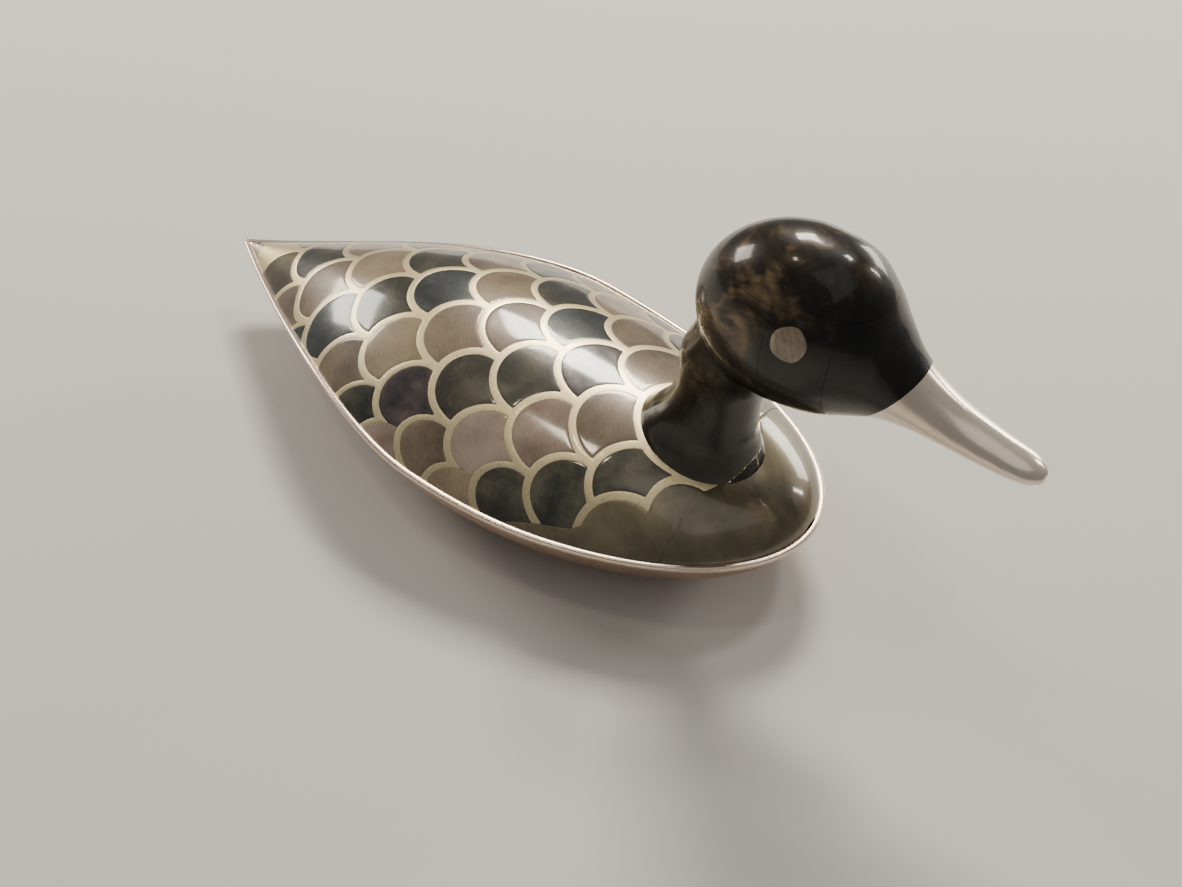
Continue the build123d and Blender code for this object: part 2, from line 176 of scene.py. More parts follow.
def growth_group() -> bpy.types.NodeTree:
    """Fine growth lines of shell.

    Returns:
        A group with Scale and Distortion in, Lines out.
    """
    tree, graph, given, result = new_group(
        "growth_lines", {"Scale": 260.0, "Distortion": 6.0}, {"Lines": "NodeSocketFloat"}
    )
    place = graph.node("ShaderNodeTexCoord").outputs["Object"]
    turned = graph.node("ShaderNodeMapping", {"Vector": place, "Rotation": (0.3, 0.5, 0.9)})
    wave = graph.node(
        "ShaderNodeTexWave",
        {"Vector": turned.outputs[0], "Detail": 3.0, "Detail Scale": 1.4},
        bands_direction="Y",
    )
    graph.feed(wave, {"Scale": given.outputs["Scale"], "Distortion": given.outputs["Distortion"]})
    graph.feed(result, {"Lines": wave.outputs["Fac"]})
    return tree


def speck_group() -> bpy.types.NodeTree:
    """Small dark specks and pits.

    Returns:
        A group with Scale and Amount in, Specks out.
    """
    tree, graph, given, result = new_group(
        "specks", {"Scale": 900.0, "Amount": 0.35}, {"Specks": "NodeSocketFloat"}
    )
    place = graph.node("ShaderNodeTexCoord").outputs["Object"]
    noise = graph.node(
        "ShaderNodeTexNoise",
        {"Vector": place, "Detail": 4.0, "Roughness": 0.7, "Scale": given.outputs["Scale"]},
    )
    sparse = graph.node(
        "ShaderNodeMapRange", {"Value": noise.outputs["Fac"], "From Min": 0.52, "From Max": 0.68}
    ).outputs[0]
    graph.feed(result, {"Specks": graph.math("MULTIPLY", sparse, given.outputs["Amount"])})
    return tree


# ------------------------------------------------------------------ finishes
@dataclass(frozen=True)
class ShellFinish:
    """Polished shell under a clear coat, with a painted sheen: its colour is mixed towards a lighter tint in
    cloud patches where the surface faces the camera.

    Its fade, where it has one, is a direction and the places along it where the colour starts and ends to go.
    """

    name: str
    dark: Colour
    middle: Colour
    light: Colour
    painted_sheen_colour: Colour
    painted_sheen_amount: float
    cloud_scale: float = 60.0
    warp: float = 0.35
    line_scale: float = 260.0
    line_amount: float = 0.15
    metallic: float = 0.25
    roughness: float = 0.32
    coat: float = 1.0
    specular: float = 0.5
    fade: tuple[Point, float, float] | None = None

    def material(self) -> bpy.types.Material:
        """Build the material."""
        material, graph, shader = start_material(self.name)
        clouds = graph.node("ShaderNodeGroup", node_tree=shared("shell_clouds"))
        shades = {"Dark": self.dark, "Middle": self.middle, "Light": self.light}
        graph.feed(clouds, {"Scale": self.cloud_scale, "Warp": self.warp, **shades})
        lines = graph.node("ShaderNodeGroup", node_tree=shared("growth_lines"))
        graph.feed(lines, {"Scale": self.line_scale})
        tone = graph.node(
            "ShaderNodeMapRange",
            {
                "Value": lines.outputs["Lines"],
                "To Min": 1.0 - self.line_amount, "To Max": 1.0 + self.line_amount,
            },
        ).outputs[0]
        body = graph.node(
            "ShaderNodeVectorMath", {0: clouds.outputs["Colour"], "Scale": tone}, operation="SCALE"
        ).outputs[0]
        if self.fade:
            direction, start, end = self.fade
            place = graph.node("ShaderNodeTexCoord").outputs["Object"]
            along = graph.node("ShaderNodeVectorMath", {0: place, 1: direction}, operation="DOT_PRODUCT")
            gone = graph.node(
                "ShaderNodeMapRange",
                {
                    "Value": along.outputs["Value"],
                    "From Min": start, "From Max": end, "To Min": 1.0, "To Max": 0.06,
                },
                interpolation_type="SMOOTHSTEP",
            ).outputs[0]
            body = graph.node("ShaderNodeVectorMath", {0: body, "Scale": gone}, operation="SCALE").outputs[0]
        # Painted sheen: where the surface faces the camera, cloud patches of the colour are mixed towards the
        # lighter sheen tint.
        facing = graph.node("ShaderNodeLayerWeight", {"Blend": 0.35}).outputs["Facing"]
        sheen = graph.math("MULTIPLY", graph.math("SUBTRACT", 1.0, facing), self.painted_sheen_amount)
        patch = graph.math("MULTIPLY", sheen, clouds.outputs["Mask"], clamp=True)
        colour = graph.mix(patch, body, self.painted_sheen_colour)
        rough = graph.node(
            "ShaderNodeMapRange",
            {
                "Value": clouds.outputs["Mask"],
                "To Min": self.roughness + 0.08, "To Max": self.roughness - 0.08,
            },
        ).outputs[0]
        bump = graph.node(
            "ShaderNodeBump", {"Height": clouds.outputs["Mask"], "Strength": 0.12, "Distance": 0.0003}
        )
        graph.feed(shader, {
            "Base Color": colour, "Roughness": rough, "Metallic": self.metallic, "Normal": bump.outputs[0],
            "Specular IOR Level": self.specular, "Coat Weight": self.coat, "Coat Roughness": 0.09,
            "Coat IOR": 1.5,
        })
        return material


@dataclass(frozen=True)
class BrassFinish:
    """Brass, from pale satin cell walls to a polished bill."""

    name: str
    base: Colour
    worn: Colour
    roughness: float
    speck_amount: float = 0.3
    speck_scale: float = 900.0
    coat: float = 0.6
    metallic: float = 1.0

    def material(self) -> bpy.types.Material:
        """Build the material."""
        material, graph, shader = start_material(self.name)
        specks = graph.node("ShaderNodeGroup", node_tree=shared("specks"))
        graph.feed(specks, {"Scale": self.speck_scale, "Amount": self.speck_amount})
        place = graph.node("ShaderNodeTexCoord").outputs["Object"]
        stain = graph.node(
            "ShaderNodeTexNoise", {"Vector": place, "Scale": 55.0, "Detail": 5.0, "Roughness": 0.6}
        )
        patch = graph.node(
            "ShaderNodeMapRange", {"Value": stain.outputs["Fac"], "From Min": 0.4, "From Max": 0.7}
        ).outputs[0]
        stained = graph.mix(graph.math("MULTIPLY", patch, 0.6), self.base, self.worn)
        colour = graph.mix(specks.outputs["Specks"], stained, tuple(0.25 * c for c in self.worn[:3]) + (1.0,))
        rough = graph.node(
            "ShaderNodeMapRange",
            {"Value": stain.outputs["Fac"], "To Min": self.roughness * 0.8, "To Max": self.roughness * 1.3},
        ).outputs[0]
        bump = graph.node(
            "ShaderNodeBump", {"Height": specks.outputs["Specks"], "Strength": 0.15, "Distance": 0.0002}
        )
        bump.invert = True
        graph.feed(shader, {
            "Base Color": colour, "Roughness": rough, "Metallic": self.metallic, "Normal": bump.outputs[0],
            "Coat Weight": self.coat, "Coat Roughness": 0.06,
        })
        return material


@dataclass(frozen=True)
class FeltFinish:
    """Short felt."""

    name: str
    base: Colour

    def material(self) -> bpy.types.Material:
        """Build the material."""
        material, graph, shader = start_material(self.name)
        place = graph.node("ShaderNodeTexCoord").outputs["Object"]
        fibre = graph.node("ShaderNodeTexNoise", {"Vector": place, "Scale": 1800.0, "Detail": 6.0})
        lighter = tuple(2.2 * c for c in self.base[:3]) + (1.0,)
        bump = graph.node(
            "ShaderNodeBump", {"Height": fibre.outputs["Fac"], "Strength": 0.6, "Distance": 0.0004}
        )
        graph.feed(shader, {
            "Base Color": graph.mix(fibre.outputs["Fac"], self.base, lighter), "Normal": bump.outputs[0],
            "Roughness": 0.95, "Sheen Weight": 0.4,
        })
        return material


class Shade(Enum):
    """Finish of a tile."""

    DARK = "dark"
    TAN = "tan"
    OLIVE = "olive"


GROUP_BUILDERS = {"shell_clouds": cloud_group, "growth_lines": growth_group, "specks": speck_group}


def shared(name: str) -> bpy.types.NodeTree:
    """The named node group, built on first use."""
    return bpy.data.node_groups.get(name) or GROUP_BUILDERS[name]()


@dataclass
class Palette:
    """All finishes of the duck, built once."""

    made: dict[str, bpy.types.Material] = field(default_factory=dict)

    def get(self, finish) -> bpy.types.Material:
        """The material of a finish."""
        if finish.name not in self.made:
            self.made[finish.name] = finish.material()
        return self.made[finish.name]


PEN_SHELLS = (
    ShellFinish(
        "pen_shell_green", (0.005, 0.006, 0.005, 1), (0.016, 0.018, 0.015, 1), (0.062, 0.066, 0.060, 1),
        (0.20, 0.22, 0.23, 1), 0.30, cloud_scale=120.0, warp=0.6,
    ),
    ShellFinish(
        "pen_shell_purple", (0.008, 0.005, 0.005, 1), (0.028, 0.018, 0.017, 1), (0.088, 0.060, 0.054, 1),
        (0.20, 0.16, 0.16, 1), 0.25, cloud_scale=130.0, warp=0.6,
    ),
    ShellFinish(
        "pen_shell_olive", (0.008, 0.007, 0.004, 1), (0.024, 0.021, 0.012, 1), (0.078, 0.068, 0.042, 1),
        (0.20, 0.19, 0.14, 1), 0.25, cloud_scale=110.0, warp=0.6,
    ),
)
TAN_SHELLS = (
    ShellFinish(
        "tan_shell_rose", (0.120, 0.078, 0.052, 1), (0.200, 0.137, 0.098, 1), (0.300, 0.222, 0.168, 1),
        (0.46, 0.38, 0.32, 1), 0.30, cloud_scale=48.0, line_amount=0.08, metallic=0.15, roughness=0.34,
    ),
    ShellFinish(
        "tan_shell_honey", (0.120, 0.080, 0.040, 1), (0.190, 0.134, 0.074, 1), (0.280, 0.208, 0.125, 1),
        (0.44, 0.36, 0.25, 1), 0.28, cloud_scale=55.0, line_amount=0.08, metallic=0.15, roughness=0.34,
    ),
    ShellFinish(
        "tan_shell_brown", (0.080, 0.054, 0.031, 1), (0.140, 0.098, 0.060, 1), (0.220, 0.162, 0.106, 1),
        (0.38, 0.31, 0.23, 1), 0.28, cloud_scale=60.0, line_amount=0.10, metallic=0.15, roughness=0.34,
    ),
)
GOLD_SHELL = ShellFinish(
    "gold_shell", (0.032, 0.024, 0.009, 1), (0.082, 0.062, 0.026, 1), (0.165, 0.128, 0.062, 1),
    (0.42, 0.36, 0.22, 1), 0.40, cloud_scale=34.0, line_scale=150.0, line_amount=0.08, metallic=0.40,
    roughness=0.30,
)
HEAD_SHELL = ShellFinish(
    "head_shell", (0.004, 0.003, 0.002, 1), (0.022, 0.014, 0.008, 1), (0.200, 0.138, 0.070, 1),
    (0.10, 0.08, 0.05, 1), 0.10, cloud_scale=85.0, warp=1.8, line_scale=120.0, line_amount=0.25, metallic=0.2,
    roughness=0.30, coat=0.5, specular=0.2, fade=((0.8, 0.0, -0.6), -14.0 * MM, 10.0 * MM),
)
EYE_SHELL = ShellFinish(
    "eye_shell", (0.16, 0.115, 0.066, 1), (0.23, 0.170, 0.102, 1), (0.30, 0.230, 0.150, 1),
    (0.45, 0.38, 0.30, 1), 0.2, cloud_scale=150.0, metallic=0.0, roughness=0.4,
)
WALL_BRASS = BrassFinish("wall_brass", (0.84, 0.71, 0.43, 1), (0.62, 0.48, 0.26, 1), 0.40, 0.35, 1300.0, 0.6)
RIM_BRASS = BrassFinish("rim_brass", (0.83, 0.68, 0.55, 1), (0.60, 0.43, 0.31, 1), 0.30, 0.25, 700.0, 0.5)
HULL_BRASS = BrassFinish("hull_brass", (0.56, 0.37, 0.26, 1), (0.38, 0.24, 0.15, 1), 0.34, 0.2, 500.0, 0.4)
BILL_BRASS = BrassFinish(
    "bill_brass", (0.90, 0.78, 0.63, 1), (0.74, 0.58, 0.42, 1), 0.20, 0.08, 900.0, 0.6, metallic=0.7
)
ZINC_STEEL = BrassFinish("zinc_steel", (0.55, 0.56, 0.58, 1), (0.40, 0.41, 0.42, 1), 0.35, 0.2, 800.0, 0.0)
FELT = FeltFinish("green_felt", (0.012, 0.022, 0.014, 1))


# ------------------------------------------------------------------ mesh helpers
def make_mesh(name: str, points: Array, faces: list, sharp: float = 35.0) -> bpy.types.Object:
    """New object from points and faces, smooth but for its hard edges.

    Args:
        name: the object's name.
        points: vertex positions, one row each.
        faces: vertex indices of each face.
        sharp: edges that turn more than this many degrees stay hard.

    Returns:
        The object, linked to the scene.
    """
    mesh = bpy.data.meshes.new(name)
    mesh.from_pydata([tuple(p) for p in points], [], faces)
    mesh.validate()
    mesh.shade_smooth()
    mesh.set_sharp_from_angle(angle=math.radians(sharp))
    piece = bpy.data.objects.new(name, mesh)
    bpy.context.scene.collection.objects.link(piece)
    return piece


def face_outwards(piece: bpy.types.Object) -> None:
    """Turn every face of a closed mesh outwards."""
    work = bmesh.new()
    work.from_mesh(piece.data)
    bmesh.ops.recalc_face_normals(work, faces=work.faces)
    work.to_mesh(piece.data)
    work.free()


def apply_modifiers(piece: bpy.types.Object) -> None:
    """Bake a piece's modifiers into its mesh."""
    graph = bpy.context.evaluated_depsgraph_get()
    mesh = bpy.data.meshes.new_from_object(piece.evaluated_get(graph))
    piece.modifiers.clear()
    piece.data = mesh


def grid_faces(rows: int, columns: int, wrap: bool = False) -> list[tuple[int, ...]]:
    """Quads of a grid of points stored row by row.

    Args:
        rows: number of rows.
        columns: number of points in a row.
        wrap: whether each row closes on itself.

    Returns:
        The quads.
    """
    last = columns if wrap else columns - 1
    faces = []
    for r in range(rows - 1):
        near, far = r * columns, (r + 1) * columns
        for c in range(last):
            after = (c + 1) % columns
            faces.append((near + c, near + after, far + after, far + c))
    return faces


def between_skins(name: str, first: Array, second: Array) -> bpy.types.Object:
    """Closed piece between two grids of points of the same size.

    Args:
        name: the object's name.
        first: one skin's points.
        second: the other skin's points.

    Returns:
        The piece, facing outwards.
    """
    rows, columns = first.shape[:2]
    count = rows * columns
    skin = grid_faces(rows, columns)
    faces = [tuple(reversed(f)) for f in skin] + [tuple(v + count for v in f) for f in skin]
    border = [r * columns for r in range(rows)]
    border += [(rows - 1) * columns + c for c in range(1, columns)]
    border += [r * columns + columns - 1 for r in range(rows - 2, -1, -1)]
    border += list(range(columns - 2, 0, -1))
    for a, b in zip(border, border[1:] + border[:1]):
        faces.append((a, b, b + count, a + count))
    piece = make_mesh(name, np.vstack([first.reshape(-1, 3), second.reshape(-1, 3)]), faces)
    face_outwards(piece)
    return piece


def through(stations: list[tuple[float, ...]], count: int) -> Array:
    """Smooth curve through stations, evenly spaced between them.

    Args:
        stations: values at each station.
        count: number of samples wanted.

    Returns:
        Sampled values, one row each.
    """
    knots = np.array(stations, float)
    padded = np.vstack([2 * knots[0] - knots[1], knots, 2 * knots[-1] - knots[-2]])
    place = np.linspace(0, len(knots) - 1, count)
    index = np.minimum(place.astype(int), len(knots) - 2)
    t = (place - index)[:, None]
    p0, p1, p2, p3 = (padded[index + k] for k in range(4))
    square = (2 * p0 - 5 * p1 + 4 * p2 - p3) * t**2
    cube = (3 * p1 - p0 - 3 * p2 + p3) * t**3
    return 0.5 * (2 * p1 + (p2 - p0) * t + square + cube)


# ------------------------------------------------------------------ body form
@dataclass(frozen=True)
class BodyForm:
    """The body's curves, shared by every piece that lies on it."""

    length: float = 212.0 * MM
    stern: float = -127.70 * MM
    beam_half: float = 47.4 * MM
    beam_at: float = 0.55
    rim_z: float = 24.0 * MM
    rim_wave: float = 6.0 * MM
    rim_wave_end: float = 0.74
    crown: float = 19.5 * MM
    crown_at: float = 0.62
    depth: float = 27.0 * MM
    full_at: float = 0.58
    base_z: float = 2.0 * MM

    def beam(self, u: Array) -> Array:
        """Half width at fraction u of the length."""
        v = np.clip(u / self.beam_at, 0, 1)
        aft = v * (1.42 - 0.30 * v - 0.12 * v**6)
        fore = np.sqrt(np.clip(1 - ((u - self.beam_at) / (1 - self.beam_at)) ** 2, 0, 1))
        return self.beam_half * np.where(u < self.beam_at, aft, fore)

    def rim(self, u: Array) -> Array:
        """Height of the beltline."""
        return self.rim_z + self.rim_wave * np.sin(np.pi * np.clip(u / self.rim_wave_end, 0, 1)) ** 2

    def rise(self, u: Array) -> Array:
        """Rise of the back above the beltline."""
        aft = np.sin(np.pi / 2 * np.clip(u / self.crown_at, 0, 1)) ** 0.9
        past = np.clip((u - self.crown_at) / (1 - self.crown_at), 0, 1)
        return self.crown * np.where(u < self.crown_at, aft, np.sqrt(np.clip(1 - past**2.2, 0, 1)))

    def bowl(self, u: Array) -> Array:
        """Depth of the hull's bowl."""
        aft = np.sqrt(np.clip(1 - np.clip(1 - u / self.full_at, 0, 1) ** 1.8, 0, 1))
        past = np.clip((u - self.full_at) / (1 - self.full_at), 0, 1)
        return self.depth * np.where(u < self.full_at, aft, np.sqrt(np.clip(1 - past**2.6, 0, 1)))

    def deck(self, u: Array, turn: Array) -> Array:
        """Points on the back.

        Args:
            u: fraction of the length.
            turn: angle round the section, from the right rim to the left one.

        Returns:
            Positions, with the last axis x, y, z.
        """
        roundness = 1.0 - 0.35 * np.clip(u - 0.5, 0, 1) / 0.5
        height = self.rim(u) + self.rise(u) * np.clip(np.cos(turn), 1e-9, 1) ** (2 * roundness)
        return np.stack([self.stern + self.length * u, self.beam(u) * np.sin(turn), height], -1)

    def hull(self, u: Array, turn: Array) -> Array:
        """Points on the hull, flat underneath."""
        height = self.rim(u) - self.bowl(u) * np.clip(np.cos(turn), 0, 1) ** 0.9
        height = np.maximum(height, self.base_z)
        return np.stack([self.stern + self.length * u, self.beam(u) * np.sin(turn), height], -1)

    def deck_normal(self, u: Array, turn: Array) -> Array:
        """Outward unit normals of the back."""
        step = 1e-3
        du = self.deck(np.clip(u + step, 0, 0.9995), turn) - self.deck(np.clip(u - step, 0.0005, 1), turn)
        side = np.clip(turn, -1.565, 1.565)
        dt = self.deck(u, side + step) - self.deck(u, side - step)
        normal = np.cross(du, dt)
        size = np.linalg.norm(normal, axis=-1, keepdims=True)
        return normal / np.maximum(size, 1e-12)


BODY = BodyForm()


def plan_disc(x: float, y: float, rx: float, ry: float) -> Field:
    """Signed distance from an ellipse in plan, negative inside; x is measured from the tail."""

    def distance(px: Array, py: Array) -> Array:
        """Distance at plan positions, stretched across like the ellipse."""
        return np.hypot(px - x, (py - y) * rx / ry) - rx

    return distance


@dataclass
class Carver:
    """Cuts closed inlay pieces out of the back's surface, each from a field that is negative inside it."""

    first: float = 0.042
    last: float = 0.9985
    rows: int = 380
    columns: int = 230
    thickness: float = 1.3 * MM
    edge_width: float = 0.35 * MM
    edge_drop: float = 0.04 * MM
    fewest: int = 12

    def __post_init__(self) -> None:
        """Lay the grid over the back."""
        bend = np.linspace(0, 1, self.rows)
        u = self.first + (self.last - self.first) * (bend + 0.10 * np.sin(np.pi * bend) * bend)
        self.u = np.clip(u, self.first, self.last)
        self.turn = np.linspace(-np.pi / 2, np.pi / 2, self.columns)
        self.grid_u, self.grid_turn = np.meshgrid(self.u, self.turn, indexing="ij")
        points = BODY.deck(self.grid_u, self.grid_turn)
        self.px = points[..., 0] - BODY.stern
        self.py = points[..., 1]

    def wander(self) -> tuple[Array, Array]:
        """Plan positions with a slight hand-cut unevenness."""
        dx = 0.30 * np.sin(self.py / (7.3 * MM) + 1.3) + 0.22 * np.sin((self.px + self.py) / (4.1 * MM))
        dy = 0.28 * np.sin(self.px / (6.1 * MM) + 0.4) + 0.20 * np.sin((self.px - self.py) / (3.7 * MM) + 2.0)
        return self.px + dx * MM, self.py + dy * MM

    def carve(self, name: str, field_values: Array) -> bpy.types.Object | None:
        """Make the piece where the field is negative.

        Args:
            name: the piece's name.
            field_values: the field on the grid, in metres.

        Returns:
            The closed piece, or None where nothing is inside.
        """
        inside = field_values < 0
        if inside.sum() < self.fewest:
            return None
        rows = np.where(inside.any(1))[0]
        cols = np.where(inside.any(0))[0]
        r0, r1 = max(rows[0] - 1, 0), min(rows[-1] + 2, self.rows)
        c0, c1 = max(cols[0] - 1, 0), min(cols[-1] + 2, self.columns)
        value = field_values[r0:r1, c0:c1]
        uu, tt = self.grid_u[r0:r1, c0:c1], self.grid_turn[r0:r1, c0:c1]
        ins = value < 0
        ids: dict[tuple, int] = {}
        place: list[tuple[float, float, float]] = []

        def corner(i: int, j: int) -> int:
            """Index of a grid point."""
            key = (i, j)
            if key not in ids:
                ids[key] = len(place)
                place.append((uu[i, j], tt[i, j], value[i, j]))
            return ids[key]

        def crossing(i: int, j: int, k: int, m: int) -> int:
            """Index of the point between two grid points where the field is nought."""
            key = (min((i, j), (k, m)), max((i, j), (k, m)))
            if key not in ids:
                share = value[i, j] / (value[i, j] - value[k, m])
                share = min(max(share, 0.04), 0.96)
                ids[key] = len(place)
                place.append((
                    uu[i, j] + (uu[k, m] - uu[i, j]) * share, tt[i, j] + (tt[k, m] - tt[i, j]) * share, 0.0,
                ))
            return ids[key]

        faces = []
        for i, j in np.argwhere(ins[:-1, :-1] | ins[1:, :-1] | ins[:-1, 1:] | ins[1:, 1:]):
            loop = ((i, j), (i + 1, j), (i + 1, j + 1), (i, j + 1))
            ring = []
            for k in range(4):
                a, b = loop[k], loop[(k + 1) % 4]
                if ins[a]:
                    ring.append(corner(*a))
                if ins[a] != ins[b]:
                    ring.append(crossing(*a, *b))
            if len(ring) > 2:
                faces.append(tuple(ring))
        return self.solid(name, np.array(place), faces)

    def solid(self, name: str, place: Array, faces: list) -> bpy.types.Object:
        """Close a carved skin with walls and an underside."""
        u, turn, depth = place.T
        normal = BODY.deck_normal(u, turn)
        edge = np.clip(1 + depth / self.edge_width, 0, 1)
        top = BODY.deck(u, turn) - normal * (self.edge_drop * edge**2)[:, None]
        bottom = BODY.deck(u, turn) - normal * self.thickness
        count = len(place)
        seen = {}
        for face in faces:
            for a, b in zip(face, face[1:] + face[:1]):
                seen[(a, b)] = True
        walls = [(b, a, a + count, b + count) for a, b in seen if (b, a) not in seen]
        under = [tuple(reversed([v + count for v in face])) for face in faces]
        return make_mesh(name, np.vstack([top, bottom]), faces + walls + under)


# ------------------------------------------------------------------ feather inlay
@dataclass
class FeatherBack:
    """Scale-shaped tiles in rows from the nape to the tail, with their brass walls."""

    pitch_x: float = 13.0 * MM
    pitch_y: float = 24.0 * MM
    radius: float = 13.1 * MM
    wall: float = 2.2 * MM
    back_curve: float = 50.0 * MM
    first_tip: float = 159.0 * MM
    tail_plug: float = 9.0 * MM
    collar_x: float = 177.5 * MM
    collar: tuple[float, float] = (16.0 * MM, 14.0 * MM)
    joint: float = 0.03 * MM
    rows: tuple = (
        ((1, "dark"),),
        ((0.5, "tan"), (1.5, "dark")),
        ((0, "dark"), (1, "tan"), (2, "dark")),
        ((0.5, "dark"), (1.5, "tan"), (2.5, "tan")),
        ((0, "tan"), (1, "dark"), (2, "tan")),
        ((0.5, "tan"), (1.5, "dark"), (2.5, "tan")),
        ((0, "dark"), (1, "tan"), (2, "dark")),
        ((0.5, "dark"), (1.5, "tan"), (2.5, "tan")),
        ((0, "tan"), (1, "dark")),
        ((0.5, "tan"), (1.5, "dark")),
        ((0, "dark"), (1, "tan")),
        ((0.5, "olive"),),
    )
    breast_scales: tuple = ((176.0 * MM, 24.0 * MM), (163.5 * MM, 36.0 * MM))
    breast_disc: tuple[float, float] = (11.4 * MM, 9.6 * MM)
    breast_edge: tuple = (
        (134.0, 60.0), (147.0, 44.5), (163.0, 38.0), (180.0, 26.0), (190.0, 10.0), (190.0, 0.0),
    )
    carver: Carver = field(default_factory=Carver)

    def __post_init__(self) -> None:
        """Work out the shared fields."""
        self.px, self.py = self.carver.wander()

    def columns(self, row: int) -> Iterator[tuple[float, str]]:
        """Signed columns of a row with their shades, both sides of the centre line."""
        for column, shade in self.rows[row]:
            yield column, shade
            if column:
                yield -column, shade

    def scale(self, row: int, column: float, wall: float) -> Array:
        """Field of one scale, drawn in by the width of its wall."""
        x = self.first_tip - self.pitch_x * row + self.radius
        angle = column * self.pitch_y / self.back_curve
        radius = self.radius - wall
        squeeze = max(math.cos(angle), 0.55)
        return plan_disc(x, self.back_curve * math.sin(angle), radius, radius * squeeze)(self.px, self.py)

    def breast_field(self, grow: float = 0.0) -> Array:
        """Field of the breast, negative on the breast's slabs."""
        edge = np.array(self.breast_edge) * MM
        reach = np.interp(np.abs(self.py), edge[::-1, 1], edge[::-1, 0])
        field_values = (reach - self.px) * 0.7
        for tip, side in self.breast_scales:
            for sign in (-1, 1):
                rx, ry = self.breast_disc
                disc = plan_disc(tip + self.radius, sign * side, rx + grow, ry + grow)(self.px, self.py)
                field_values = np.minimum(field_values, disc)
        return field_values

    def tile_field(self, row: int, column: float) -> Array:
        """Field of one tile: its scale, less the scales that lie over it."""
        field_values = self.scale(row, column, self.wall)
        for ahead in (1, 2):
            if row >= ahead:
                for other, _ in self.columns(row - ahead):
                    if abs(other - column) < 1.1:
                        field_values = np.maximum(field_values, -self.scale(row - ahead, other, 0.0))
        collar = plan_disc(self.collar_x, 0.0, self.collar[0] + self.wall, self.collar[1] + self.wall)
        field_values = np.maximum(field_values, -collar(self.px, self.py))
        field_values = np.maximum(field_values, -self.breast_field(self.wall))
        return np.maximum(field_values, self.tail_plug - self.carver.px)

    def build(self, palette: Palette) -> None:
        """Make the tiles, one object for each, then the walls and the breast."""
        nodes = set(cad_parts)
        nearest = np.full(self.px.shape, 1.0)
        for row in range(len(self.rows)):
            made: dict[str, list[bpy.types.Object]] = {}
            for number, (column, shade) in enumerate(self.columns(row)):
                values = self.tile_field(row, column)
                nearest = np.minimum(nearest, values)
                name = f"feather_{row + 1:02d}_{number + 1}_{shade}"
                piece = self.carver.carve(name, values + self.joint)
                if piece is None:
                    continue
                self.dress(piece, palette, Shade(shade), row, number)
                made.setdefault(shade, []).append(piece)
            for shade, pieces in made.items():
                node = f"feathers_row_{row + 1:02d}_{shade}"
                if node in nodes:
                    for piece in pieces:
                        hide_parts(node)
        self.build_walls(palette, nearest)
        self.build_breast(palette)
        LOG.info("feather back built")

    def dress(self, piece: bpy.types.Object, palette: Palette, shade: Shade, row: int, number: int) -> None:
        """Give a tile one of its shade's shells and put it on the body."""
        choice = {Shade.DARK: PEN_SHELLS, Shade.TAN: TAN_SHELLS, Shade.OLIVE: (GOLD_SHELL,)}[shade]
        finish = choice[(row * 2 + number * 5 + row * number) % len(choice)]
        piece.data.materials.append(palette.get(finish))
        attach(piece, "root")

    def build_walls(self, palette: Palette, nearest: Array) -> None:
        """Make the brass network left between the tiles."""
        collar = plan_disc(self.collar_x, 0.0, *self.collar)(self.px, self.py)
        values = np.maximum(-nearest, -self.breast_field())
        values = np.maximum(values, -collar)
        values = np.maximum(values, self.tail_plug - self.carver.px)
        piece = self.carver.carve("cell_walls_brass", values + self.joint)
        piece.data.materials.append(palette.get(WALL_BRASS))
        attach(piece, "root")
        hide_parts("cell_walls")

    def build_breast(self, palette: Palette) -> None:
        """Make the three slabs of the breast."""
        seam = 186.0 * MM
        collar = plan_disc(self.collar_x, 0.0, *self.collar)(self.px, self.py)
        breast = np.maximum(self.breast_field(), -collar)
        parts = {
            "breast_front": seam + 0.06 * MM - self.px,
            "breast_left": np.maximum(self.px - seam + 0.06 * MM, -self.py),
            "breast_right": np.maximum(self.px - seam + 0.06 * MM, self.py),
        }
        for node, limit in parts.items():
            piece = self.carver.carve(f"{node}_slab", np.maximum(breast, limit) + self.joint)
            piece.data.materials.append(palette.get(GOLD_SHELL))
            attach(piece, "root")
            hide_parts(node)


